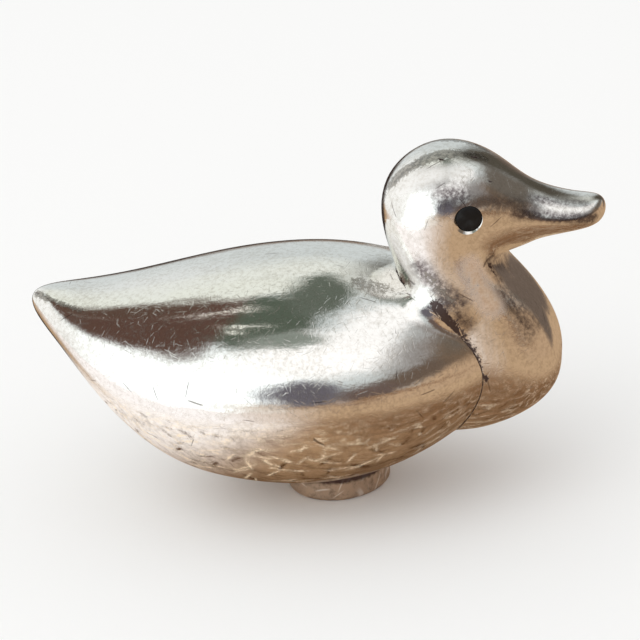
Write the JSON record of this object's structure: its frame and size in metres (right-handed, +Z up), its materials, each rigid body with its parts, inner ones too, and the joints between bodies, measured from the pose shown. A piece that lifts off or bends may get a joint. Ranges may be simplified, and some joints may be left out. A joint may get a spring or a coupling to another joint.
{
  "type": "duck figurine",
  "caption": "Small polished silver duck figurine with a smooth body, raised tail, curved neck, drilled black eyes and a round plug foot.",
  "frame": {"origin": "centre of the box around the duck, at the underside of its foot", "axes": "+X towards the bill, +Y to the duck's left, +Z up from the foot"},
  "size_m": [0.0806, 0.039, 0.0498],
  "materials": {
    "silver": "polished",
    "worn_silver": "gloss",
    "steel": "satin",
    "eye_black": "gloss"
  },
  "bodies": {
    "root": {"body_casting": "silver", "head_and_breast_casting": "silver", "foot": "worn_silver", "foot_screw": "steel", "lower_joint_pin": "steel", "upper_joint_pin": "steel", "eye_left": "eye_black", "eye_right": "eye_black"}
  },
  "joints": []
}
